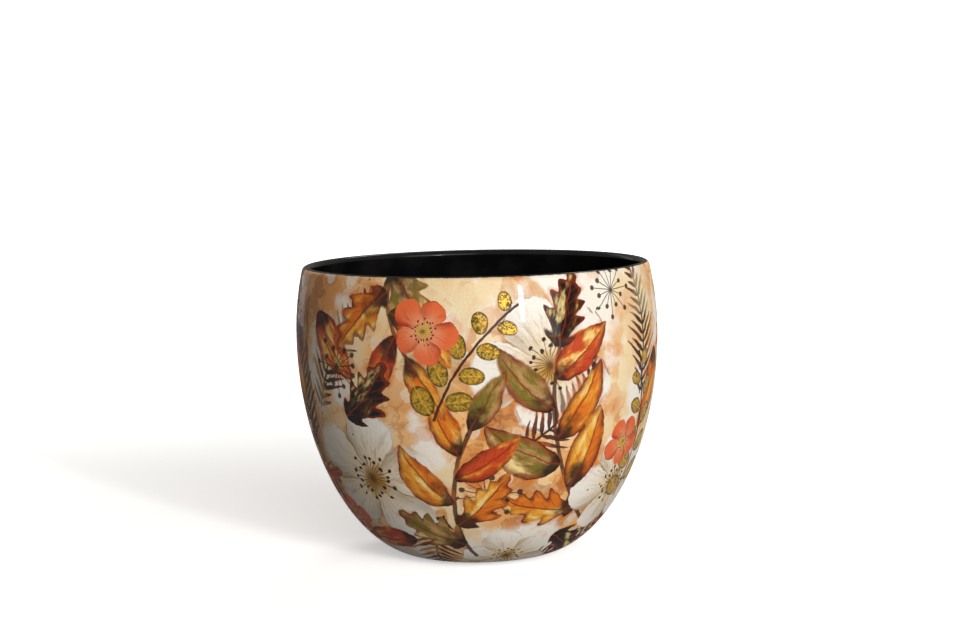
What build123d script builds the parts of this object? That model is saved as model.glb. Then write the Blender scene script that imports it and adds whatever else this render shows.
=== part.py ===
"""Ceramic cachepot: a round cover pot with a black glazed lining, a printed film
outside and four rubber dots under the foot ring. Millimetres, +Z up, origin on the
floor under the centre of the foot."""

from build123d import *
import math
import os

# Overall form, measured on the outside of the print film
max_diameter = 210.0
height = 170.0
widest_height = 130.2
shoulder_radius = 171.0
foot_diameter = 75.0
foot_fullness = 0.46
belly_fullness = 0.587

# Wall and its two skins
wall_thickness = 6.0
skin_thickness = 0.5
print_edge_angle = 72.0

# Foot ring and the recess inside it
foot_ring_width = 13.0
recess_depth = 1.6
recess_round = 0.7

# Rubber dots
dot_count = 4
dot_diameter = 10.0
dot_height = 1.2
dot_taper = 12.0
dot_edge_round = 0.4

# Most that a rounding may take of the height it is on
rounding_share = 0.45

# Places worked out from the sizes above
max_radius = max_diameter / 2
foot_radius = foot_diameter / 2
foot_height = dot_height
recess_radius = foot_radius - foot_ring_width
dot_circle_radius = foot_radius - foot_ring_width / 2
dot_start_angle = 180 / dot_count
lip_radius = wall_thickness / 2
clay_inner_depth = wall_thickness - skin_thickness
shoulder_centre = Vector(max_radius - shoulder_radius, widest_height)
lip_angle = math.degrees(
    math.asin((height - lip_radius - widest_height) / (shoulder_radius - lip_radius))
)
lip_centre = shoulder_centre + Vector(shoulder_radius - lip_radius, 0).rotate(Axis.Z, lip_angle)


def flank(depth):
    """The wall's curve from the foot to the widest line, at a depth under the outside."""
    foot = Vector(foot_radius, foot_height + depth)
    widest = Vector(max_radius - depth, widest_height)
    reach = widest - foot
    return Bezier(
        foot,
        foot + Vector(foot_fullness * reach.X, 0),
        widest - Vector(0, belly_fullness * reach.Y),
        widest,
    )


def shoulder(depth):
    """The wall's arc from the widest line up to the lip, at a depth under the outside."""
    return CenterArc(shoulder_centre, shoulder_radius - depth, 0, lip_angle)


def lip(depth, start_angle, end_angle):
    """Part of the rounded lip. Angle 90 is the crest, smaller angles are outside it."""
    return CenterArc(lip_centre, lip_radius - depth, start_angle, end_angle - start_angle)


def turned(*edges):
    """The solid that a closed half section makes when it turns about the pot's axis."""
    return revolve(Plane.XZ * make_face(edges), Axis.Z)


def floor_line(depth):
    """The level inside floor, from the axis to where the flank starts."""
    level = foot_height + depth
    return Line((0, level), (foot_radius, level))


def ceramic_body():
    """The fired shell: foot ring, recess under the floor, wall and lip."""
    recess_level = foot_height + recess_depth
    underside = FilletPolyline(
        (0, recess_level),
        (recess_radius, recess_level),
        (recess_radius, foot_height),
        (foot_radius, foot_height),
        radius=min(recess_round, rounding_share * recess_depth),
    )
    outer = flank(skin_thickness)
    inner_floor = floor_line(clay_inner_depth)
    return turned(
        underside,
        Line(underside @ 1, outer @ 0),
        outer,
        shoulder(skin_thickness),
        lip(skin_thickness, lip_angle, lip_angle + 180),
        shoulder(clay_inner_depth),
        flank(clay_inner_depth),
        inner_floor,
        Line(inner_floor @ 0, underside @ 0),
    )


def lining_glaze():
    """The black glaze on the floor and wall inside, carried over the crest of the lip."""
    seat_floor = floor_line(clay_inner_depth)
    face_floor = floor_line(wall_thickness)
    seat_lip = lip(skin_thickness, print_edge_angle, lip_angle + 180)
    face_lip = lip(0, print_edge_angle, lip_angle + 180)
    return turned(
        seat_floor,
        flank(clay_inner_depth),
        shoulder(clay_inner_depth),
        seat_lip,
        Line(seat_lip @ 0, face_lip @ 0),
        face_lip,
        shoulder(wall_thickness),
        flank(wall_thickness),
        face_floor,
        Line(face_floor @ 0, seat_floor @ 0),
    )


def print_film():
    """The printed film outside, from the foot ring's edge to the glaze's edge on the lip."""
    seat, face = flank(skin_thickness), flank(0)
    seat_lip = lip(skin_thickness, lip_angle, print_edge_angle)
    face_lip = lip(0, lip_angle, print_edge_angle)
    return turned(
        seat,
        shoulder(skin_thickness),
        seat_lip,
        Line(seat_lip @ 1, face_lip @ 1),
        face_lip,
        shoulder(0),
        face,
        Line(face @ 0, seat @ 0),
    )


def rubber_foot():
    """One dot: a low taper, stuck on by its wide face, with an eased edge on the floor."""
    wide_radius = dot_diameter / 2
    narrow_radius = wide_radius - dot_height * math.tan(math.radians(dot_taper))
    on_floor = (Align.CENTER, Align.CENTER, Align.MIN)
    dot = Cone(narrow_radius, wide_radius, dot_height, align=on_floor)
    floor_edge = dot.edges().group_by(Axis.Z)[0]
    return fillet(floor_edge, min(dot_edge_round, rounding_share * dot_height))


def main():
    os.makedirs("parts", exist_ok=True)
    nodes = {
        "ceramic_body": ceramic_body(),
        "lining_glaze": lining_glaze(),
        "print_film": print_film(),
    }
    dot = rubber_foot()
    dot_places = PolarLocations(dot_circle_radius, dot_count, dot_start_angle)
    for number, place in enumerate(dot_places, 1):
        nodes[f"rubber_foot_{number}"] = place * dot
    for name, shape in nodes.items():
        export_step(shape, f"parts/{name}.step")
        print(f"{name}: {shape.volume / 1000:.2f} cm3")


main()
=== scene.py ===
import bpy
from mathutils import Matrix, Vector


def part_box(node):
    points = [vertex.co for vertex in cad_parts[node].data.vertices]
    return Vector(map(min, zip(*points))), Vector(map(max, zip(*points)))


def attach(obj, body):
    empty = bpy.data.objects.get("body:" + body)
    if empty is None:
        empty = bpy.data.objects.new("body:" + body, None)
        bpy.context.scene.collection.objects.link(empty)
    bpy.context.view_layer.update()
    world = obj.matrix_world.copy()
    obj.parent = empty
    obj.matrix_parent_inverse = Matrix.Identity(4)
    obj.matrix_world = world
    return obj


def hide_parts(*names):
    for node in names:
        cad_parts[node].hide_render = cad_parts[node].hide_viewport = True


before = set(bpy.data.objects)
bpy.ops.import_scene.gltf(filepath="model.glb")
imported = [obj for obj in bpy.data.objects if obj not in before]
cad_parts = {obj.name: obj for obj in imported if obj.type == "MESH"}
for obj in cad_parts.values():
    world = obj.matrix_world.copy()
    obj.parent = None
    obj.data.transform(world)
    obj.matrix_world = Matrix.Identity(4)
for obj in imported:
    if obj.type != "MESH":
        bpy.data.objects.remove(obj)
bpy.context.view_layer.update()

import math

import bmesh
import bpy
import numpy as np
from mathutils import Matrix, Quaternion, Vector

mm = 0.001

# the pot's half section, in metres, on the same curves as the solids
potForm = dict(
    maxRadius=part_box("print_film")[1].x,
    footLevel=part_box("print_film")[0].z,
    height=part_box("lining_glaze")[1].z,
    widestHeight=0.1302,
    shoulderRadius=0.171,
    footRadius=0.0375,
    footFullness=0.46,
    bellyFullness=0.587,
    wall=0.006,
    skin=0.0005,
    filmEdge=72.0,  # degrees round the lip where the film ends and the glaze begins
)
lipRadius = potForm["wall"] / 2
shoulderCentre = np.array([potForm["maxRadius"] - potForm["shoulderRadius"], potForm["widestHeight"]])
lipRise = potForm["height"] - lipRadius - potForm["widestHeight"]
lipAngle = math.degrees(math.asin(lipRise / (potForm["shoulderRadius"] - lipRadius)))


def onArc(centre, radius, startAngle, endAngle, count):
    turns = np.radians(np.linspace(startAngle, endAngle, count))
    return centre + radius * np.stack([np.cos(turns), np.sin(turns)], axis=1)


lipCentre = onArc(shoulderCentre, potForm["shoulderRadius"] - lipRadius, lipAngle, lipAngle, 1)[0]


def evenPoints(path, count):  # the same path with its points evenly spaced
    run = np.concatenate([[0], np.cumsum(np.hypot(*np.diff(path, axis=0).T))])
    want = np.linspace(0, run[-1], count)
    return np.stack([np.interp(want, run, path[:, 0]), np.interp(want, run, path[:, 1])], axis=1)


curvePoints = dict(flank=400, shoulder=100)  # before they are evenly spaced


def wallPath(depth, count):  # foot to lip, at a depth under the outside
    foot = np.array([potForm["footRadius"], potForm["footLevel"] + depth])
    widest = np.array([potForm["maxRadius"] - depth, potForm["widestHeight"]])
    reach = widest - foot
    low = foot + [potForm["footFullness"] * reach[0], 0]
    high = widest - [0, potForm["bellyFullness"] * reach[1]]
    t = np.linspace(0, 1, curvePoints["flank"])[:, None]
    flank = (1 - t) ** 3 * foot + 3 * t * (1 - t) ** 2 * low + 3 * t**2 * (1 - t) * high + t**3 * widest
    radius = potForm["shoulderRadius"] - depth
    shoulder = onArc(shoulderCentre, radius, 0, lipAngle, curvePoints["shoulder"])
    return evenPoints(np.concatenate([flank, shoulder[1:]]), count)


def lipPath(depth, startAngle, endAngle, count):
    return onArc(lipCentre, lipRadius - depth, startAngle, endAngle, count)


creaseAngle = 35  # degrees, above which an edge stays sharp
mergeGap = 1e-6  # metres


def spinSection(name, section, steps, doublings, closed):  # turns a half section about the pot's axis
    bm = bmesh.new()
    verts = [bm.verts.new((radius, 0, height)) for radius, height in section]
    ends = verts[1:] + verts[:1] if closed else verts[1:]
    edges = [bm.edges.new(pair) for pair in zip(verts, ends)]
    wedge = 2 * math.pi / 2**doublings
    bmesh.ops.spin(bm, geom=verts + edges, cent=(0, 0, 0), axis=(0, 0, 1), angle=wedge, steps=steps)
    # a wedge that is doubled until it closes is quicker than one long spin
    for doubling in range(doublings):
        copied = bmesh.ops.duplicate(bm, geom=bm.verts[:] + bm.edges[:] + bm.faces[:])["geom"]
        turned = [item for item in copied if isinstance(item, bmesh.types.BMVert)]
        turn = Matrix.Rotation(wedge * 2**doubling, 3, "Z")
        bmesh.ops.rotate(bm, verts=turned, cent=(0, 0, 0), matrix=turn)
    bmesh.ops.remove_doubles(bm, verts=bm.verts, dist=mergeGap)
    bmesh.ops.recalc_face_normals(bm, faces=bm.faces)
    mesh = bpy.data.meshes.new(name)
    bm.to_mesh(mesh)
    bm.free()
    mesh.polygons.foreach_set("use_smooth", [True] * len(mesh.polygons))
    mesh.set_sharp_from_angle(angle=math.radians(creaseAngle))
    piece = bpy.data.objects.new(name, mesh)
    bpy.context.scene.collection.objects.link(piece)
    return piece


# node values that read as sums
class Tone:
    def __init__(self, socket):
        self.socket = socket

    def __abs__(self):
        return calc("ABSOLUTE", self)


sums = {"add": "ADD", "sub": "SUBTRACT", "mul": "MULTIPLY", "truediv": "DIVIDE", "pow": "POWER"}
for word, operation in sums.items():
    setattr(Tone, f"__{word}__", lambda a, b, operation=operation: calc(operation, a, b))
    setattr(Tone, f"__r{word}__", lambda a, b, operation=operation: calc(operation, b, a))

graph = None


def addNode(kind, **settings):
    made = graph.nodes.new("ShaderNode" + kind)
    for name, value in settings.items():
        setattr(made, name, value)
    number = len(graph.nodes)
    made.location = (180 * (number % 30), -220 * (number // 30))
    return made


def plug(socket, value):
    if isinstance(value, Tone):
        graph.links.new(value.socket, socket)
    else:
        socket.default_value = value


def calc(operation, *values):
    made = addNode("Math", operation=operation)
    for socket, value in zip(made.inputs, values):
        plug(socket, value)
    return Tone(made.outputs[0])


def rise(value, start, end, low=0.0, high=1.0):  # eases from low to high as value goes from start to end
    made = addNode("MapRange", interpolation_type="SMOOTHSTEP")
    for socket, item in zip(made.inputs, (value, start, end, low, high)):
        plug(socket, item)
    return Tone(made.outputs[0])


def fract(value):
    return calc("FRACT", value)


def clamp(value, low, high):
    return calc("MINIMUM", calc("MAXIMUM", value, low), high)


def vec(x, y, z):
    made = addNode("CombineXYZ")
    for socket, value in zip(made.inputs, (x, y, z)):
        plug(socket, value)
    return Tone(made.outputs[0])


def parts(vector):
    made = addNode("SeparateXYZ")
    plug(made.inputs[0], vector)
    return [Tone(socket) for socket in made.outputs]


def vectorSum(operation, a, b):
    made = addNode("VectorMath", operation=operation)
    plug(made.inputs[0], a)
    plug(made.inputs[1], b)
    return Tone(made.outputs["Value" if operation in ("DOT_PRODUCT", "DISTANCE") else "Vector"])


def scaled(vector, factor):
    made = addNode("VectorMath", operation="SCALE")
    plug(made.inputs[0], vector)
    plug(made.inputs["Scale"], factor)
    return Tone(made.outputs[0])


def noise(place, scale, detail=2.0, roughness=0.5):
    made = addNode("TexNoise")
    plug(made.inputs["Vector"], place)
    made.inputs["Scale"].default_value = scale
    made.inputs["Detail"].default_value = detail
    made.inputs["Roughness"].default_value = roughness
    return Tone(made.outputs[0]), Tone(made.outputs[1])


def cells(place, scale, smooth=0.0):
    made = addNode("TexVoronoi", feature="SMOOTH_F1" if smooth else "F1")
    plug(made.inputs["Vector"], place)
    made.inputs["Scale"].default_value = scale
    if smooth:
        made.inputs["Smoothness"].default_value = smooth
    return Tone(made.outputs["Distance"]), Tone(made.outputs["Color"])


def ink(text):  # a colour as it looks on screen, in the form that sockets take
    values = [int(text[i:i + 2], 16) / 255 for i in (0, 2, 4)]
    return tuple(v / 12.92 if v <= 0.04045 else ((v + 0.055) / 1.055) ** 2.4 for v in values) + (1.0,)


def blendInk(amount, below, above, mode="MIX"):
    made = addNode("Mix", data_type="RGBA", blend_type=mode)
    plug(made.inputs[0], amount)
    plug(made.inputs[6], ink(below) if isinstance(below, str) else below)
    plug(made.inputs[7], ink(above) if isinstance(above, str) else above)
    return Tone(made.outputs[2])


def newMaterial(name):  # with a place on the object in millimetres
    global graph
    material = bpy.data.materials.new(name)
    material.use_nodes = True
    graph = material.node_tree
    shader = graph.nodes["Principled BSDF"]
    coords = addNode("TexCoord")
    return material, shader, scaled(Tone(coords.outputs["Object"]), 1 / mm)


def bump(height, distance, strength):
    made = addNode("Bump")
    plug(made.inputs["Height"], height)
    made.inputs["Distance"].default_value = distance
    made.inputs["Strength"].default_value = strength
    return Tone(made.outputs[0])


def setSockets(shader, values):  # what is the same all over a surface
    for name, value in values.items():
        shader.inputs[name].default_value = value


# printed film: a spun shell, and marks on its vertices that say where each motif lies
filmMake = dict(steps=16, doublings=5, outerRows=150, innerRows=30, lipRows=5)
outerWall = wallPath(0, filmMake["outerRows"])
filmSection = np.concatenate([
    outerWall,
    lipPath(0, lipAngle, potForm["filmEdge"], filmMake["lipRows"])[1:],
    lipPath(potForm["skin"], potForm["filmEdge"], lipAngle, filmMake["lipRows"]),
    wallPath(potForm["skin"], filmMake["innerRows"])[::-1][1:],
])
printSkin = spinSection("print_skin", filmSection, filmMake["steps"], filmMake["doublings"], closed=True)
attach(printSkin, "root")
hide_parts("print_film")
print("print skin:", len(printSkin.data.vertices), "vertices")

# the wall unrolled: climb is millimetres up the wall from the foot,
# around is degrees to the right of the front
overrun = dict(foot=30.0, lip=60.0)  # the wall goes on straight past both ends, so a motif may run off it
footStep = outerWall[0] - outerWall[1]
lipStep = outerWall[-1] - outerWall[-2]
filmWall = np.concatenate([
    [outerWall[0] / mm + overrun["foot"] * footStep / np.hypot(*footStep)],
    outerWall / mm,
    [outerWall[-1] / mm + overrun["lip"] * lipStep / np.hypot(*lipStep)],
])
climbs = np.concatenate([[0], np.cumsum(np.hypot(*np.diff(filmWall, axis=0).T))]) - overrun["foot"]
vertexSpots = np.zeros(len(printSkin.data.vertices) * 3)
printSkin.data.vertices.foreach_get("co", vertexSpots)
vertexSpots = vertexSpots.reshape(-1, 3) / mm
edgeEnds = np.zeros(len(printSkin.data.edges) * 2, dtype=np.int32)
printSkin.data.edges.foreach_get("vertices", edgeEnds)
edgeEnds = edgeEnds.reshape(-1, 2)

layerNames = dict(
    ghost=["ghost_1", "ghost_2"],
    streak=["streak_1"],
    fern=["fern_1", "fern_2"],
    blossom=["blossom_1", "blossom_2"],
    stem=["stem_1", "stem_2"],
    leaf=["leaf_1", "leaf_2", "leaf_3", "leaf_4", "leaf_5"],
    coin=["coin_1"],
    umbel=["umbel_1"],
    flower=["flower_1"],
)
markMargin = 3.0  # millimetres that a mark reaches past its motif
seedTop = 0.98  # keeps a seed under the next whole millimetre
halfWidths = dict(stem=1.5, coin=19.0, fern=24.0, streak=22.0)
leafShape = dict(leaf=0.33, ghost=0.3)  # half width as a share of the length
layers = [name for names in layerNames.values() for name in names]
marks = {name: np.zeros((len(vertexSpots), 4), dtype=np.float32) for name in layers}
owners = {name: np.zeros(len(vertexSpots), dtype=np.int32) for name in marks}
motifCount = 0
leftOut = 0


def wallRadius(climb):
    return np.interp(climb, climbs, filmWall[:, 0])


def wallSpot(around, climb):
    turn = np.radians(around)
    radius = wallRadius(climb)
    level = np.interp(climb, climbs, filmWall[:, 1])
    return np.stack([radius * np.sin(turn), -radius * np.cos(turn), level], axis=-1)


def wallNormal(around, climb):
    slope = wallSpot(0.0, climb + 0.5) - wallSpot(0.0, climb - 0.5)
    flat = slope[..., [2, 1]] / np.linalg.norm(slope, axis=-1, keepdims=True)
    turn = np.radians(around)
    return np.stack([flat[..., 0] * np.sin(turn), -flat[..., 0] * np.cos(turn), flat[..., 1]], axis=-1)


def stroke(around, climb, heading, length, bend):
    # walks over the wall, turning by bend degrees on the way; heading 0 is up and 90 to the right
    step = 1.0
    ahead = np.arange(0, length + markMargin, step)
    path = []
    for run, sign in ((ahead, 1), (np.arange(step, markMargin + step, step), -1)):
        a, c = around, climb
        leg = []
        for s in run:
            turn = math.radians(heading + bend * min(max(sign * s / length, 0), 1))
            if s > 0:
                a += sign * math.degrees(math.sin(turn) * step / wallRadius(c))
                c += sign * math.cos(turn) * step
            leg.append((a, c, sign * s))
        path = path + leg if sign > 0 else leg[::-1] + path
    return np.array(path)


def claim(kind, chosen, values):
    global motifCount, leftOut
    for name in layerNames[kind]:
        if not owners[name][chosen].any():
            motifCount += 1
            owners[name][chosen] = motifCount
            marks[name][chosen] = values
            return
    leftOut += 1
    print("no room for a", kind)


def ribbonMark(kind, around, climb, heading, length, bend, halfWidth, seed):
    path = stroke(around, climb, heading, length, bend)
    spots = wallSpot(path[:, 0], path[:, 1])
    along = np.gradient(spots, axis=0)
    along /= np.linalg.norm(along, axis=1, keepdims=True)
    sideways = np.cross(along, wallNormal(path[:, 0], path[:, 1]))
    reach = length / 2 + halfWidth + 2 * markMargin
    near = np.flatnonzero(np.linalg.norm(vertexSpots - spots[len(spots) // 2], axis=1) < reach)
    apart = vertexSpots[near][:, None, :] - spots[None]
    nearest = (apart**2).sum(axis=2).argmin(axis=1)
    gap = apart[np.arange(len(near)), nearest]
    alongMm = path[nearest, 2] + (gap * along[nearest]).sum(axis=1)
    acrossMm = (gap * sideways[nearest]).sum(axis=1)
    inside = np.abs(acrossMm) < halfWidth + markMargin
    inside &= (alongMm > -markMargin) & (alongMm < length + markMargin)
    count = inside.sum()
    code = np.full(count, math.floor(length) + min(seed % 1, seedTop))
    claim(kind, near[inside], np.stack([alongMm[inside], acrossMm[inside], code, np.ones(count)], axis=1))
    return path


def discMark(kind, around, climb, size, turn, seed):
    centre = wallSpot(around, climb)
    normal = wallNormal(around, np.asarray(climb, dtype=float))
    right = np.array([math.cos(math.radians(around)), math.sin(math.radians(around)), 0])
    up = np.cross(normal, right)
    c, s = math.cos(math.radians(turn)), math.sin(math.radians(turn))
    apart = vertexSpots - centre
    near = np.flatnonzero(np.linalg.norm(apart, axis=1) < 1.2 * size + markMargin)
    x = apart[near] @ (c * right + s * up)
    y = apart[near] @ (c * up - s * right)
    stretch = np.linalg.norm(apart[near], axis=1) / np.maximum(np.hypot(x, y), 1e-6)
    code = np.full(len(near), math.floor(size) + min(seed % 1, seedTop))
    claim(kind, near, np.stack([x * stretch, y * stretch, code, np.ones(len(near))], axis=1))


def leaf(around, climb, heading, length, bend, seed):
    ribbonMark("leaf", around, climb, heading, length, bend, leafShape["leaf"] * length, seed)


def ghost(around, climb, heading, length, bend, seed):
    ribbonMark("ghost", around, climb, heading, length, bend, leafShape["ghost"] * length, seed)


def branch(around, climb, heading, length, bend, leaves, leafLength, seed, spread=56):
    # a stem with leaves to left and right in turn, and one at the tip
    path = ribbonMark("stem", around, climb, heading, length, bend, halfWidths["stem"], seed)
    for number in range(leaves):
        share = 0.16 + 0.82 * number / max(leaves - 1, 1)
        at = path[np.abs(path[:, 2] - share * length).argmin()]
        side = 0 if number == leaves - 1 else (1 if number % 2 else -1)
        size = leafLength * (1.0 - 0.3 * abs(share - 0.4))
        lean = heading + bend * share + side * spread
        leaf(at[0], at[1], lean, size, 8 - side * 28, seed * 7.31 + number * 0.377)


def blossom(around, climb, size, seed):
    discMark("blossom", around, climb, size, 360 * seed, seed)


def flower(around, climb, size, seed):
    discMark("flower", around, climb, size, 360 * seed, seed)


def umbel(around, climb, size, turn, seed):
    discMark("umbel", around, climb, size, turn, seed)


def coinSprig(around, climb, heading, length, bend, seed):
    ribbonMark("coin", around, climb, heading, length, bend, halfWidths["coin"], seed)


def fern(around, climb, heading, length, bend, seed):
    ribbonMark("fern", around, climb, heading, length, bend, halfWidths["fern"], seed)


def grass(around, climb, heading, length, bend, seed):
    ribbonMark("streak", around, climb, heading, length, bend, halfWidths["streak"], seed)


# front spray
grass(-72, 30, 2, 170, -6, 0.21)
ghost(-6, 20, -36, 72, 30, 0.3)
ghost(10, 200, 150, 70, 30, 0.7)
ghost(66, 40, -8, 70, -30, 0.55)
ghost(-24, 150, 100, 66, 40, 0.1)
blossom(22, 148, 44, 0.62)
blossom(-40, 82, 44, 0.13)
blossom(58, 72, 36, 0.41)
blossom(14, 22, 27, 0.2)
branch(50, 46, -50, 126, 64, 7, 54, 0.17)
branch(-26, 212, 200, 62, -56, 5, 50, 0.53)
branch(-2, 22, -24, 96, 52, 6, 48, 0.94)
coinSprig(-14, 118, 20, 82, 34, 0.3)
coinSprig(66, 60, 6, 92, -26, 0.72)
fern(-14, 60, 210, 70, -36, 0.8)
fern(62, 124, 8, 88, -30, 0.35)
fern(-60, 120, 24, 90, 22, 0.1)
fern(10, 100, 70, 74, -50, 0.5)
flower(-16, 168, 20, 0.27)
flower(56, 98, 17, 0.66)
flower(-64, 52, 16, 0.91)
umbel(2, 74, 20, 12, 0.4)
umbel(-48, 146, 18, -30, 0.9)
umbel(46, 186, 16, 40, 0.6)
leaf(-58, 176, 150, 48, -20, 0.16)
leaf(74, 150, 190, 50, 20, 0.66)
leaf(-30, 40, 250, 46, 30, 0.05)
leaf(34, 40, 118, 44, 30, 0.49)
leaf(-46, 118, 60, 46, -34, 0.52)
fern(22, 8, 62, 80, -30, 0.6)

# right back spray
grass(160, 26, -6, 170, 8, 0.52)
ghost(108, 24, 20, 70, -30, 0.2)
ghost(132, 190, 190, 66, 30, 0.6)
ghost(88, 120, 20, 66, 30, 0.8)
blossom(100, 150, 40, 0.22)
blossom(142, 90, 42, 0.84)
blossom(102, 38, 30, 0.47)
branch(86, 84, 50, 122, -56, 7, 52, 0.39)
branch(168, 212, 176, 62, 50, 5, 50, 0.71)
branch(126, 20, -20, 92, 48, 6, 46, 0.08)
coinSprig(112, 96, 14, 86, -30, 0.6)
coinSprig(150, 36, -10, 80, 30, 0.15)
fern(176, 60, 8, 88, 30, 0.15)
fern(124, 64, 200, 66, 20, 0.5)
fern(130, 130, 30, 80, 30, 0.9)
flower(134, 162, 20, 0.33)
flower(172, 112, 17, 0.58)
umbel(118, 126, 18, -20, 0.8)
umbel(158, 150, 17, 30, 0.3)
leaf(96, 178, 220, 46, 24, 0.3)
leaf(150, 66, 120, 48, -30, 0.62)

# left back spray
grass(238, 30, 4, 166, 10, 0.83)
ghost(206, 22, 26, 70, -26, 0.4)
ghost(226, 196, 170, 66, -30, 0.9)
ghost(266, 118, -20, 66, 30, 0.2)
blossom(206, 148, 41, 0.35)
blossom(258, 86, 42, 0.07)
blossom(216, 34, 30, 0.77)
branch(190, 78, 46, 124, -58, 7, 54, 0.81)
branch(268, 212, 190, 62, -48, 5, 50, 0.25)
branch(240, 22, -22, 94, 50, 6, 48, 0.6)
coinSprig(226, 96, 12, 86, 30, 0.45)
coinSprig(278, 40, -8, 84, 26, 0.12)
fern(286, 92, 12, 88, -34, 0.55)
fern(234, 62, 206, 66, -26, 0.3)
fern(244, 126, 34, 80, 26, 0.7)
flower(240, 164, 20, 0.5)
flower(276, 140, 17, 0.1)
umbel(232, 126, 18, 10, 0.2)
umbel(200, 96, 17, -16, 0.5)
leaf(216, 180, 140, 46, -24, 0.7)
leaf(274, 70, 60, 48, 30, 0.2)

for name, values in marks.items():
    owner = owners[name]
    borders = edgeEnds[owner[edgeEnds[:, 0]] != owner[edgeEnds[:, 1]]]
    values[borders.ravel(), 3] = 0
    layer = printSkin.data.attributes.new(name, "FLOAT_COLOR", "POINT")
    layer.data.foreach_set("color", values.ravel())
print("print motifs:", motifCount, "left out:", leftOut)

# paint of the printed film: one node group for each kind of motif, pressed layer upon layer
washInks = dict(
    light="fae4b6", middle="f9bb72", deep="e5944a",
    cloud="fdf6e8", stain="a4521a", dab="d0752f",
)
ghostInks = dict(tan="e2b47c", grey="d6c8b0")
streakInks = dict(tan="c58745", brown="7c4717", dark="331607")
blossomInks = dict(
    petal="fcf7ec", warm="f3d9a8", fold="bfab8a",
    line="8f5f2d", heart="c08a25", seed="3c1d0b",
)
flowerInks = dict(
    petal="ee6f3a", warm="f8b080", fold="b93312",
    line="7c1d0c", heart="f2c65a", seed="4c170a",
)
leafInks = dict(
    amber="f4b036", orange="e27618", rust="8c2c0c", pale="fee79c",
    sepia="190a05", olive="7e7124", tan="c2955a", red="cb461a",
)
coinInks = dict(olive="6a560e", gold="a87b12", rim="37280a", pale="d0a63c")
fernInks = dict(dark="190a05", rust="6a2c0e")
# the foot ink is painted contact shade; the glaze and grain inks are wear and grain of the film
wearAndShadeInks = dict(glaze="100d0b", foot="2a160c", grain="b98a5a")
lipWear = dict(start=169.35, end=169.6, sway=0.5)  # millimetres up, where the glaze breaks through
footContactShade = dict(start=2.4, end=1.4, sway=1.5)  # millimetres up, where the film is painted darker towards the foot as painted contact shade
filmGloss = {"Specular IOR Level": 0.0, "Coat Weight": 0.08, "Coat IOR": 2.2, "Coat Roughness": 0.03}
stemInk = "4c230e"
umbelInk = "2f1408"

printed, skinShader, place = newMaterial("printed_film_paint")
wobbleColour = noise(place, 0.13, 2.0)[1]
field = dict(zip(("wobbleX", "wobbleY", "wobbleZ"), [part * 2.0 - 1.0 for part in parts(wobbleColour)]))
field["grain"] = noise(place, 1.7, 3.0, 0.6)[0]
field["tide"] = noise(place, 0.07, 4.0, 0.55)[0]
runs = noise(vectorSum("ADD", place, (17.0, 90.0, 53.0)), 0.034, 2.0)[0]
field["melt"] = rise(runs, 0.48, 0.66)  # where painted edges run into the ground


def makeStamp(name, painter, inks=()):
    global graph
    outside = graph
    graph = bpy.data.node_groups.new(name, "ShaderNodeTree")
    sockets = dict(mark="NodeSocketVector", inside="NodeSocketFloat", below="NodeSocketColor")
    sockets.update({label: "NodeSocketFloat" for label in field})
    sockets.update({label: "NodeSocketColor" for label in inks})
    for label, kind in sockets.items():
        graph.interface.new_socket(name=label, in_out="INPUT", socket_type=kind)
    graph.interface.new_socket(name="colour", in_out="OUTPUT", socket_type="NodeSocketColor")
    graph.interface.new_socket(name="cover", in_out="OUTPUT", socket_type="NodeSocketFloat")
    entry = graph.nodes.new("NodeGroupInput")
    given = {label: Tone(entry.outputs[label]) for label in sockets}
    # a trace of the layer below makes this one wait for it, so that few values are held at a time
    along, across, code = parts(vectorSum("ADD", given["mark"], scaled(given["below"], 1e-9)))
    inside = calc("GREATER_THAN", given["inside"], 0.995)  # it falls where two motifs of a layer meet
    colour, cover = painter(given, along, across, calc("FLOOR", code), fract(code), inside)
    leaving = graph.nodes.new("NodeGroupOutput")
    plug(leaving.inputs["colour"], colour)
    plug(leaving.inputs["cover"], cover)
    made, graph = graph, outside
    return made


def press(stamp, layer, below, inks=None):
    mark = addNode("Attribute", attribute_name=layer)
    made = addNode("Group", node_tree=stamp)
    plug(made.inputs["mark"], Tone(mark.outputs["Vector"]))
    plug(made.inputs["inside"], Tone(mark.outputs["Alpha"]))
    plug(made.inputs["below"], below)
    for label, value in field.items():
        plug(made.inputs[label], value)
    for label, value in (inks or {}).items():
        plug(made.inputs[label], ink(value))
    return Tone(made.outputs["colour"]), Tone(made.outputs["cover"])


def paintGround():
    tide = field["tide"]
    broad = noise(place, 0.017, 3.0)[0]
    warped = vectorSum("ADD", place, scaled(wobbleColour, 8.0))
    dab = parts(cells(warped, 0.06, 0.35)[1])[0]
    smallDab = parts(cells(vectorSum("ADD", warped, (31.0, 7.0, 3.0)), 0.11, 0.25)[1])[1]
    colour = blendInk(rise(broad, 0.38, 0.6), washInks["light"], washInks["middle"])
    colour = blendInk(rise(dab, 0.4, 1.0) * 0.6, colour, washInks["deep"])
    colour = blendInk(rise(smallDab, 0.35, 0.0) * 0.6, colour, washInks["light"])
    colour = blendInk(rise(smallDab, 0.75, 1.0) * rise(tide, 0.45, 0.6) * 0.65, colour, washInks["dab"])
    colour = blendInk(rise(broad + (tide - 0.5) * 0.4, 0.57, 0.72) * 0.6, colour, washInks["stain"])
    stain = rise(abs(tide - 0.52), 0.035, 0.0) * rise(broad, 0.4, 0.6) * 0.5
    colour = blendInk(stain, colour, washInks["stain"])
    cloud = noise(vectorSum("ADD", place, (120.0, 40.0, 9.0)), 0.02, 3.0)[0]
    return blendInk(rise(cloud + (tide - 0.5) * 0.3, 0.53, 0.63), colour, washInks["cloud"])


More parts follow.
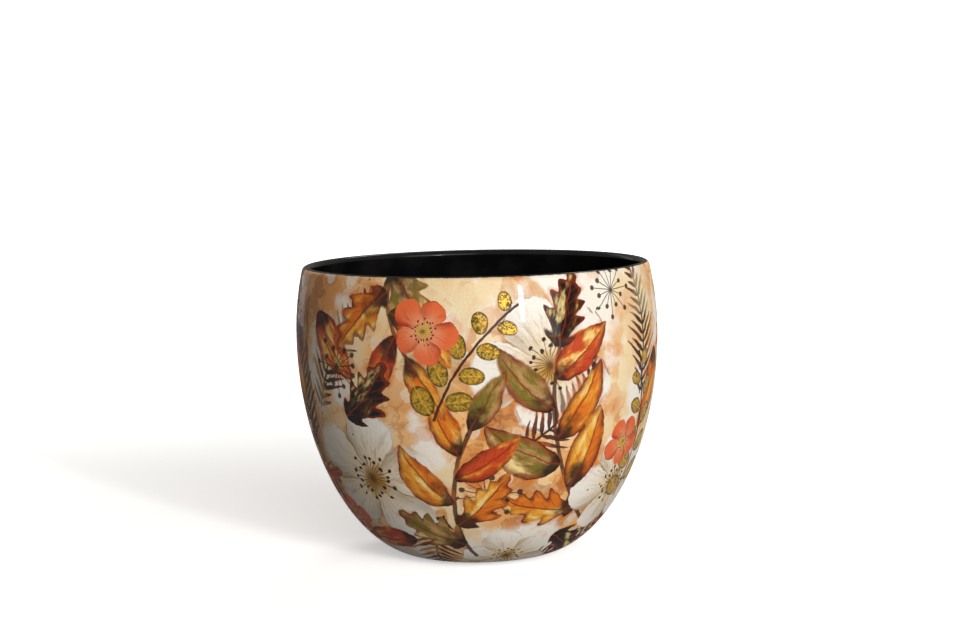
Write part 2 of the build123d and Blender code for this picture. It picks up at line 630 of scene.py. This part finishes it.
def paintDabs(below, shift, tint, strength):
    # short brush strokes, each lying its own way
    sway = vec(field["wobbleX"] * 1.5, field["wobbleY"] * 1.5, field["wobbleZ"] * 1.5)
    moved = vectorSum("ADD", vectorSum("ADD", place, shift), sway)
    made = addNode("TexVoronoi")
    plug(made.inputs["Vector"], moved)
    made.inputs["Scale"].default_value = 0.055
    local = vectorSum("SUBTRACT", moved, Tone(made.outputs["Position"]))
    lie = vectorSum("SUBTRACT", Tone(made.outputs["Color"]), (0.5, 0.5, 0.5))
    lie = vectorSum("NORMALIZE", lie, (0.0, 0.0, 0.0))
    run = vectorSum("DOT_PRODUCT", local, lie)
    aside = vectorSum("DISTANCE", local, scaled(lie, run))
    shape = aside / 4.2 + (run / 10.0) ** 2.0 + (field["grain"] - 0.5) * 0.35
    mask = rise(shape, 1.0, 0.8) * rise(field["tide"], 0.4, 0.6, 0.25, 1.0)
    edge = rise(abs(shape - 0.93), 0.14, 0.0) * 0.5
    return blendInk((mask + edge) * strength, below, tint)


def leafEdge(given, along, across, length, seed, slim):
    share = (along + given["wobbleX"] * 1.6) / length
    side = (across + given["wobbleY"] * 1.6) / length
    span = clamp(share, 0.002, 0.998)
    lobed = calc("GREATER_THAN", fract(seed * 3.3), 0.6)
    lobes = 1.0 + lobed * 0.3 * calc("COSINE", (share - abs(side) * 0.8) * 27.0 + 0.6)
    girth = slim + 0.07 * fract(seed * 5.7)
    lean = 1.0 + 0.22 * calc("SINE", seed * 37.0) * calc("SIGN", side)
    width = girth * calc("SINE", span**0.8 * math.pi) ** 0.85 * lobes * lean
    return share, side, abs(side) - width + (given["grain"] - 0.5) * 0.02


def paintGhost(given, along, across, length, seed, inside):
    share, side, edge = leafEdge(given, along, across, length, seed, 0.17)
    flow = noise(vec(along * 0.05, across * 0.12, seed * 50.0), 1.0, 3.0, 0.6)[0]
    mask = rise(edge, 0.02, -0.02) * inside * rise(flow, 0.25, 0.7, 0.3, 1.0)
    mask = mask * (1.0 - rise(abs(side), 0.012, 0.004) * 0.6)
    tint = blendInk(calc("GREATER_THAN", fract(seed * 7.7), 0.5), ghostInks["tan"], ghostInks["grey"])
    return blendInk(mask, given["below"], blendInk(1.0, given["below"], tint, "MULTIPLY")), mask


def paintStreaks(given, along, across, length, seed, inside):
    share = along / length
    sway = across + given["wobbleX"] * 1.5
    thread = noise(vec(sway * 0.42, along * 0.028, seed * 40.0), 1.0, 4.0, 0.62)[0]
    bristle = noise(vec(sway * 1.5, along * 0.04, seed * 70.0), 1.0, 3.0, 0.6)[0]
    fade = rise(share, 0.0, 0.2) * rise(share, 1.0, 0.8) * rise(abs(across), 23.0, 8.0)
    wash = rise(thread + fade * 0.3 - 0.3, 0.34, 0.56) * fade * inside
    colour = blendInk(wash * 0.9, given["below"], streakInks["tan"])
    colour = blendInk(wash * rise(bristle, 0.47, 0.58), colour, streakInks["brown"])
    return blendInk(wash * rise(bristle * thread, 0.29, 0.37), colour, streakInks["dark"]), wash


def paintBlossom(given, x, y, size, seed, inside):
    petals, spokes = 5, 23
    tide, melt = given["tide"], given["melt"]
    x = (x + given["wobbleX"] * 2.0) / size
    y = (y + given["wobbleY"] * 2.0) / size
    out = calc("SQRT", x * x + y * y)
    angle = calc("ARCTAN2", y, x)
    turn = angle * (petals / (2 * math.pi)) + 10.0
    petal = fract(turn) - 0.5
    number = calc("FLOOR", turn)
    uneven = 0.08 * calc("SINE", number * 2.4 + seed * 9.0)
    reach = 0.58 + 0.36 * calc("COSINE", petal * math.pi) ** 0.55 + uneven
    edge = out - reach + (tide - 0.5) * 0.16 + (given["grain"] - 0.5) * 0.02
    soft = melt * 0.06 + 0.008
    mask = rise(edge, soft, soft * -1.0) * inside
    folds = noise(vec(petal * 6.0, out * 1.4, number + seed * 20.0), 1.0, 4.0, 0.62)[0]
    colour = blendInk(rise(out, 0.8, 0.1) * 0.8, given["petal"], given["warm"])
    overlap = rise(petal, 0.08, 0.5) * rise(out, 0.12, 0.5)
    colour = blendInk(overlap * rise(folds, 0.3, 0.6, 0.35, 0.95), colour, given["fold"])
    colour = blendInk(rise(folds, 0.52, 0.66) * rise(out, 1.0, 0.4) * 0.55, colour, given["fold"])
    rill = fract(petal * 9.0 + folds * 2.5) - 0.5
    rillArea = rise(out, 0.2, 0.35) * rise(out, 0.8, 0.5) * 0.4
    colour = blendInk(rise(abs(rill), 0.10, 0.0) * rillArea, colour, given["line"])
    between = rise(abs(petal), 0.475, 0.497) * rise(out, 0.95, 0.6)
    rim = rise(abs(edge + 0.015), 0.022, 0.0) * rise(tide, 0.46, 0.58)
    colour = blendInk(calc("MAXIMUM", between, rim) * (1.0 - melt * 0.7) * 0.85, colour, given["line"])
    colour = blendInk(rise(out + (tide - 0.5) * 0.5, 0.30, 0.06), colour, given["heart"])
    spokeTurn = angle * (spokes / (2 * math.pi)) + 10.0
    spoke = fract(spokeTurn) - 0.5
    spokeReach = 0.27 + 0.07 * calc("SINE", calc("FLOOR", spokeTurn) * 3.7 + seed * 20.0)
    thread = rise(abs(spoke) * out, 0.030, 0.010) * rise(out, spokeReach, spokeReach - 0.02)
    knob = calc("SQRT", (spoke * out * (2 * math.pi / spokes)) ** 2.0 + (out - spokeReach) ** 2.0)
    colour = blendInk(thread * 0.8, colour, given["seed"])
    colour = blendInk(rise(knob, 0.034, 0.020), colour, given["seed"])
    return blendInk(mask, given["below"], colour), mask


def paintLeaf(given, along, across, length, seed, inside):
    tide = given["tide"]
    share, side, edge = leafEdge(given, along, across, length, seed, 0.18)
    ends = rise(share, 0.0, 0.02) * rise(share, 1.0, 0.98) * inside
    soft = given["melt"] * 0.018 + 0.006
    flow = noise(vec(along * 0.055, across * 0.15, seed * 60.0), 1.0, 4.0, 0.62)[0]
    half = rise(side, -0.02, 0.02)
    colour = blendInk(rise(flow + half * 0.14, 0.42, 0.66), leafInks["amber"], leafInks["orange"])
    green = blendInk(rise(flow, 0.4, 0.6), leafInks["tan"], leafInks["olive"])
    colour = blendInk(calc("GREATER_THAN", seed, 0.74), colour, green)
    colour = blendInk(calc("LESS_THAN", seed, 0.24) * rise(flow, 0.36, 0.56), colour, leafInks["red"])
    inky = calc("LESS_THAN", abs(seed - 0.5), 0.09)
    colour = blendInk(inky * rise(flow, 0.3, 0.56, 0.75, 1.0), colour, leafInks["sepia"])
    shine = rise(flow + half * 0.08, 0.49, 0.33) * rise(edge, 0.0, -0.07) * 0.9
    colour = blendInk(shine, colour, leafInks["pale"])
    rim = rise(edge, -0.10, -0.008) * rise(tide, 0.36, 0.56, 0.2, 1.0)
    colour = blendInk(rim * 0.9, colour, leafInks["rust"])
    charge = rise(share + (tide - 0.5) * 1.1 + abs(side) * 0.8, 0.42, 0.12)
    colour = blendInk(charge * 0.92, colour, leafInks["sepia"])
    fan = abs(fract((share - abs(side) * 1.2) * 6.5) - 0.5)
    vein = rise(fan, 0.08, 0.02) * rise(abs(side), 0.0, 0.03) * rise(flow, 0.4, 0.6)
    rib = rise(abs(side), 0.014, 0.005) * rise(share, 0.97, 0.8)
    colour = blendInk(calc("MAXIMUM", rib, vein * 0.6) * 0.85, colour, leafInks["rust"])
    line = rise(abs(edge + 0.008), 0.012, 0.003) * rise(tide, 0.46, 0.54)
    colour = blendInk(line * 0.85, colour, leafInks["sepia"])
    halo = rise(edge, 0.09, 0.0) * rise(tide, 0.5, 0.62) * ends * 0.55
    painted = blendInk(halo, given["below"], leafInks["orange"])
    mask = rise(edge, soft, soft * -1.0) * ends
    return blendInk(mask, painted, colour), mask


def paintCoins(given, along, across, length, seed, inside):
    x = along + given["wobbleX"]
    y = across + given["wobbleY"]
    pitch = 17.0
    tilt = math.radians(35)
    shifted = x + calc("GREATER_THAN", y, 0.0) * (pitch / 2)
    number = calc("FLOOR", shifted / pitch)
    centre = (number + 0.5) * pitch - calc("GREATER_THAN", y, 0.0) * (pitch / 2)
    taper = 1.0 - 0.45 * clamp(centre / length, 0.0, 1.0)
    down = x - centre
    out = abs(y) - 10.0 * taper
    c, s = math.cos(tilt), math.sin(tilt)
    major = (out * c + down * s) / taper
    minor = (down * c - out * s) / taper
    spread = calc("SQRT", (major / 9.2) ** 2.0 + (minor / 6.6) ** 2.0) + (given["grain"] - 0.5) * 0.08
    whole = calc("GREATER_THAN", centre, 7.0) * calc("LESS_THAN", centre, length - 5.0) * inside
    leafMask = rise(spread, 1.02, 0.96) * whole
    stem = rise(abs(y), 0.95, 0.55) * rise(x, 0.0, 1.0) * rise(x, length, length - 1.0) * inside
    flow = noise(vec(down * 0.15, out * 0.15, number + seed * 30.0), 1.0, 3.0, 0.6)[0]
    colour = blendInk(rise(flow, 0.36, 0.62), coinInks["olive"], coinInks["gold"])
    edge = rise(spread, 0.66, 1.0) * rise(given["tide"], 0.35, 0.55, 0.4, 1.0)
    colour = blendInk(edge, colour, coinInks["rim"])
    colour = blendInk(rise(abs(minor), 0.7, 0.25) * 0.6, colour, coinInks["pale"])
    painted = blendInk(stem, given["below"], stemInk)
    return blendInk(leafMask, painted, colour), leafMask * rise(spread, 1.0, 0.75)


def paintFern(given, along, across, length, seed, inside):
    x = along + given["wobbleX"]
    y = abs(across + given["wobbleY"])
    slant = x - y * 0.8
    pitch = 5.4
    row = calc("FLOOR", slant / pitch)
    share = clamp(slant / length, 0.0, 1.0)
    uneven = 0.86 + 0.14 * calc("SINE", row * 2.6 + seed * 20.0)
    reach = halfWidths["fern"] * (1.0 - share) ** 0.75 * rise(share, 0.0, 0.25, 0.4, 1.0) * uneven
    out = y / calc("MAXIMUM", reach, 0.5)
    nib = abs(fract(slant / pitch) - 0.5) * pitch
    body = 2.1 * calc("MAXIMUM", 1.0 - out, 0.0) ** 0.6 * rise(out, 0.0, 0.3, 0.35, 1.0)
    frond = rise(nib - body + (given["grain"] - 0.5) * 0.9, 0.3, -0.2)
    frond = frond * rise(out, 1.0, 0.96) * rise(slant, 0.0, 2.0) * rise(slant, length, length - 1.0)
    stem = rise(y, 0.95, 0.5) * rise(x, 0.0, 1.0) * rise(x, length, length - 1.0)
    colour = blendInk(rise(given["tide"] + out * 0.25, 0.48, 0.72), fernInks["dark"], fernInks["rust"])
    mask = calc("MAXIMUM", frond, stem) * inside * rise(given["melt"], 0.0, 1.0, 0.97, 0.6)
    return blendInk(mask, given["below"], colour), mask


def paintStem(given, along, across, length, seed, inside):
    y = abs(across + given["wobbleY"] * 0.8)
    mask = rise(y, 1.5, 1.0) * rise(along, 0.0, 1.0) * rise(along, length, length - 1.0) * inside
    return blendInk(mask * 0.92, given["below"], stemInk), mask


def paintUmbel(given, x, y, size, seed, inside):
    rays = 15
    x = (x + given["wobbleX"] * 0.8) / size
    y = (y + given["wobbleY"] * 0.8) / size
    out = calc("SQRT", x * x + y * y)
    turn = calc("ARCTAN2", y, x) * (rays / (2 * math.pi)) + 20.0
    spoke = fract(turn) - 0.5
    reach = 0.76 + 0.2 * calc("SINE", calc("FLOOR", turn) * 2.9 + seed * 9.0)
    ray = rise(abs(spoke) * out, 0.055, 0.02) * rise(out, reach, reach - 0.02)
    knob = calc("SQRT", (spoke * out * (2 * math.pi / rays)) ** 2.0 + (out - reach) ** 2.0)
    mask = calc("MAXIMUM", ray, rise(knob, 0.10, 0.07)) * inside
    return blendInk(mask * 0.92, given["below"], umbelInk), mask


def paintSplatter(below):
    dots, dotColour = cells(place, 0.16)
    pick, size = parts(dotColour)[:2]
    shower = rise(noise(vectorSum("ADD", place, (5.0, 61.0, 30.0)), 0.03, 2.0)[0], 0.5, 0.62)
    mask = rise(dots, size * 0.16, size * 0.13) * calc("GREATER_THAN", pick, 0.45) * shower
    return blendInk(mask * 0.85, below, stemInk)


stamps = dict(
    ghost=makeStamp("ghost_leaf", paintGhost),
    streak=makeStamp("grass_streaks", paintStreaks),
    fern=makeStamp("fern_frond", paintFern),
    blossom=makeStamp("open_blossom", paintBlossom, blossomInks),
    stem=makeStamp("branch_stem", paintStem),
    leaf=makeStamp("autumn_leaf", paintLeaf),
    umbel=makeStamp("seed_umbel", paintUmbel),
    coin=makeStamp("coin_leaves", paintCoins),
)
pressOrder = [
    "ghost_1", "ghost_2", "streak_1", "fern_1", "blossom_1", "fern_2", "stem_1", "leaf_1", "blossom_2",
    "umbel_1", "stem_2", "leaf_2", "coin_1", "leaf_3", "leaf_4", "leaf_5", "flower_1",
]
colour = paintGround()
colour = paintDabs(colour, (0.0, 0.0, 0.0), washInks["deep"], 0.38)
colour = paintDabs(colour, (47.0, 13.0, 29.0), washInks["cloud"], 0.65)
gold = None
for layer in pressOrder:
    kind = layer.split("_")[0]
    stamp = stamps["blossom" if kind == "flower" else kind]
    inks = dict(blossom=blossomInks, flower=flowerInks).get(kind)
    colour, cover = press(stamp, layer, colour, inks)
    if kind == "coin":
        gold = cover
    elif gold:
        gold = gold * (1.0 - cover)  # what lies over the coins hides their gold
colour = paintSplatter(colour)
grain, tide = field["grain"], field["tide"]
grained = blendInk(1.0, colour, wearAndShadeInks["grain"], "MULTIPLY")
colour = blendInk(rise(grain, 0.35, 0.7, 0.0, 0.2), colour, grained)
fleck = parts(cells(place, 1.1)[1])[0]
gold = gold * rise(fleck, 0.3, 0.6)
colour = blendInk(gold * 0.4, colour, coinInks["pale"])
level = parts(place)[2]
lipNoise = (noise(place, 0.3, 2.0)[0] - 0.5) * lipWear["sway"]
colour = blendInk(rise(level + lipNoise, lipWear["start"], lipWear["end"]), colour, wearAndShadeInks["glaze"])
# painted contact shade: the film is painted darker towards the foot, where it meets the floor
footNoise = (tide - 0.5) * footContactShade["sway"]
footShade = rise(level + footNoise, footContactShade["start"], footContactShade["end"]) * 0.85
colour = blendInk(footShade, colour, wearAndShadeInks["foot"])
plug(skinShader.inputs["Base Color"], colour)
plug(skinShader.inputs["Metallic"], gold * 0.45)
plug(skinShader.inputs["Roughness"], rise(grain, 0.3, 0.7, 0.28, 0.4))
setSockets(skinShader, filmGloss)
plug(skinShader.inputs["Normal"], bump(noise(place, 0.35, 2.0)[0], 0.00006, 0.35))
plug(skinShader.inputs["Coat Normal"], bump(noise(place, 0.16, 1.0)[0], 0.00008, 0.3))
printSkin.data.materials.append(printed)
print("film paint:", len(graph.nodes), "nodes")

# black glaze: floor, wall and the crest of the lip
glazeMake = dict(
    steps=16, doublings=4, wallRows=70, lipRows=20, backRows=24,
    floorRows=5, floorStart=0.004, floorEnd=0.030,
)
glazeFloor = potForm["footLevel"] + potForm["wall"]
glazeInks = dict(deep="0d0d0e", worn="1a1817")
glazeGloss = {"Specular IOR Level": 0.0, "Coat Weight": 0.07, "Coat IOR": 2.2, "Coat Roughness": 0.16}
seatDepth = potForm["wall"] - potForm["skin"]
floorLine = np.array([[glazeMake["floorStart"], glazeFloor], [glazeMake["floorEnd"], glazeFloor]])
glazeSection = np.concatenate([
    [[0, glazeFloor]],
    evenPoints(floorLine, glazeMake["floorRows"]),
    wallPath(potForm["wall"], glazeMake["wallRows"]),
    lipPath(0, lipAngle + 180, potForm["filmEdge"], glazeMake["lipRows"])[1:],
    lipPath(potForm["skin"], potForm["filmEdge"], lipAngle + 180, glazeMake["lipRows"]),
    wallPath(seatDepth, glazeMake["backRows"])[::-1][1:],
    [[0, potForm["footLevel"] + seatDepth]],
])
glazeLining = spinSection(
    "glaze_lining", glazeSection, glazeMake["steps"], glazeMake["doublings"], closed=False
)
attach(glazeLining, "root")
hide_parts("lining_glaze")
glazed, glazeShader, place = newMaterial("black_glaze_gloss")
cloud = noise(place, 0.05, 3.0)[0]
pinholes = rise(cells(place, 0.22)[0], 0.06, 0.02)
glazeColour = blendInk(rise(cloud, 0.4, 0.7), glazeInks["deep"], glazeInks["worn"])
plug(glazeShader.inputs["Base Color"], glazeColour)
plug(glazeShader.inputs["Roughness"], rise(cloud, 0.3, 0.7, 0.3, 0.45))
setSockets(glazeShader, glazeGloss)
plug(glazeShader.inputs["Normal"], bump(noise(place, 0.09, 2.0)[0] - pinholes * 0.6, 0.0003, 0.35))
glazeLining.data.materials.append(glazed)
print("glaze lining:", len(glazeLining.data.vertices), "vertices")

# fired clay of the body, seen under the foot
clayInks = dict(dark="d8c8b2", light="e8dccb", speck="8a6848")
clay, clayShader, place = newMaterial("bare_clay")
x, y, z = parts(place)
ringWave = calc("SINE", calc("SQRT", x * x + y * y) * 3.2 + noise(place, 0.1)[0] * 3.0)
speck = rise(cells(place, 0.5)[0], 0.16, 0.08)
clayColour = blendInk(rise(noise(place, 0.06, 4.0)[0], 0.35, 0.65), clayInks["dark"], clayInks["light"])
clayColour = blendInk(speck * 0.6, clayColour, clayInks["speck"])
plug(clayShader.inputs["Base Color"], clayColour)
plug(clayShader.inputs["Roughness"], rise(noise(place, 0.8, 3.0)[0], 0.3, 0.7, 0.75, 0.95))
plug(clayShader.inputs["Normal"], bump(noise(place, 1.6, 4.0, 0.65)[0] + ringWave * 0.12, 0.0002, 0.5))
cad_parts["ceramic_body"].data.materials.clear()
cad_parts["ceramic_body"].data.materials.append(clay)

# rubber dots
dotCount = 4
rubberInks = dict(clean="1b1a19", dusty="3a3836")
rubber, rubberShader, place = newMaterial("dot_rubber")
dust = noise(place, 0.4, 4.0, 0.65)[0]
rubberColour = blendInk(rise(dust, 0.45, 0.75), rubberInks["clean"], rubberInks["dusty"])
plug(rubberShader.inputs["Base Color"], rubberColour)
plug(rubberShader.inputs["Roughness"], rise(dust, 0.3, 0.7, 0.55, 0.8))
plug(rubberShader.inputs["Normal"], bump(noise(place, 2.5, 3.0)[0], 0.00005, 0.6))
for number in range(1, dotCount + 1):
    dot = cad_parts[f"rubber_foot_{number}"]
    dot.data.materials.clear()
    dot.data.materials.append(rubber)
print("clay and rubber dressed")


def seenRay():  # 1 where the camera, a reflection or glass looks straight at a surface
    path = addNode("LightPath")
    seen = calc("MAXIMUM", Tone(path.outputs["Is Camera Ray"]), Tone(path.outputs["Is Glossy Ray"]))
    return calc("MAXIMUM", seen, Tone(path.outputs["Is Transmission Ray"]))


# studio: a pale floor that sweeps up behind the pot
studio = dict(
    floorHalf=2.2, front=-2.6, back=1.6, wallTop=2.6,
    sweepRadius=0.6, sweepSteps=24, airLight=0.18,
)
paperInks = dict(bounce="6b6865", seen="f4f3f1", air="d6cabb", white="ffffff")
paperGlow = dict(start=100.0, end=1500.0, near=0.42, far=1.0)  # millimetres from the pot, and strength
bm = bmesh.new()
corners = [(studio["front"], 0), (studio["back"], 0), (studio["back"], studio["wallTop"])]
verts = [bm.verts.new((-studio["floorHalf"], y, z)) for y, z in corners]
edges = [bm.edges.new(pair) for pair in zip(verts, verts[1:])]
swept = bmesh.ops.extrude_edge_only(bm, edges=edges)["geom"]
sweptVerts = [item for item in swept if isinstance(item, bmesh.types.BMVert)]
bmesh.ops.translate(bm, verts=sweptVerts, vec=(2 * studio["floorHalf"], 0, 0))
fold = [e for e in bm.edges if all(v.co.y == studio["back"] and v.co.z == 0 for v in e.verts)]
bmesh.ops.bevel(
    bm, geom=fold, offset=studio["sweepRadius"], affect="EDGES",
    segments=studio["sweepSteps"], profile=0.5, material=-1,
)
bmesh.ops.recalc_face_normals(bm, faces=bm.faces)
floorMesh = bpy.data.meshes.new("studio_floor")
bm.to_mesh(floorMesh)
bm.free()
floorMesh.polygons.foreach_set("use_smooth", [True] * len(floorMesh.polygons))
studioFloor = bpy.data.objects.new("studio_floor", floorMesh)
bpy.context.scene.collection.objects.link(studioFloor)
backdrop, backdropShader, place = newMaterial("backdrop_paper")
seen = seenRay()
plug(backdropShader.inputs["Base Color"], blendInk(seen, paperInks["bounce"], paperInks["seen"]))
setSockets(backdropShader, {"Roughness": 0.9, "Specular IOR Level": 0.0})
backdropShader.inputs["Emission Color"].default_value = ink(paperInks["white"])
x, y, z = parts(place)
away = calc("SQRT", x * x + y * y) + z
glow = rise(away, paperGlow["start"], paperGlow["end"], paperGlow["near"], paperGlow["far"])
plug(backdropShader.inputs["Emission Strength"], seen * glow)
floorMesh.materials.append(backdrop)

# lamps, each aimed at the pot's belly
lamps = [
    dict(name="key_box", place=(0.80, -1.60, 0.58), size=(1.8, 1.1), power=24.3),
    dict(name="strip_box", place=(0.98, -1.85, 0.52), size=(0.09, 0.5), power=12.2),
    dict(name="back_box", place=(0.25, 1.2, 1.35), size=(0.7, 0.3), power=16),
    dict(name="left_panel", place=(-0.85, 1.3, 0.5), size=(0.5, 1.3), power=5),
]
belly = Vector((0, 0, 0.1))
for lamp in lamps:
    light = bpy.data.lights.new(lamp["name"], "AREA")
    light.shape = "RECTANGLE"
    light.size, light.size_y = lamp["size"]
    light.energy = lamp["power"]
    holder = bpy.data.objects.new(lamp["name"], light)
    holder.location = lamp["place"]
    holder.rotation_euler = (belly - Vector(lamp["place"])).to_track_quat("-Z", "Y").to_euler()
    bpy.context.scene.collection.objects.link(holder)
world = bpy.data.worlds.new("studio_air")
bpy.context.scene.world = world
world.use_nodes = True
graph = world.node_tree
air = graph.nodes["Background"]
seen = seenRay()  # the air looks white, and lights the pot only a little
plug(air.inputs["Color"], blendInk(seen, paperInks["air"], paperInks["white"]))
plug(air.inputs["Strength"], rise(seen, 0.0, 1.0, studio["airLight"], 1.0))
print("studio lit")

# camera at the photograph's angle
view = dict(
    place=(0, -1.3155, 0.27556), aim=(0.00192, 0, 0.13611),
    roll=-1.161, lens=85.167, sensor=36,
)
camera = bpy.data.cameras.new("view")
camera.lens = view["lens"]
camera.sensor_width = view["sensor"]
holder = bpy.data.objects.new("view", camera)
holder.location = view["place"]
holder.rotation_mode = "QUATERNION"
aimTurn = (Vector(view["aim"]) - Vector(view["place"])).to_track_quat("-Z", "Y")
holder.rotation_quaternion = aimTurn @ Quaternion((0, 0, 1), math.radians(view["roll"]))
bpy.context.scene.collection.objects.link(holder)
bpy.context.scene.camera = holder
bpy.context.scene.view_settings.view_transform = "Standard"
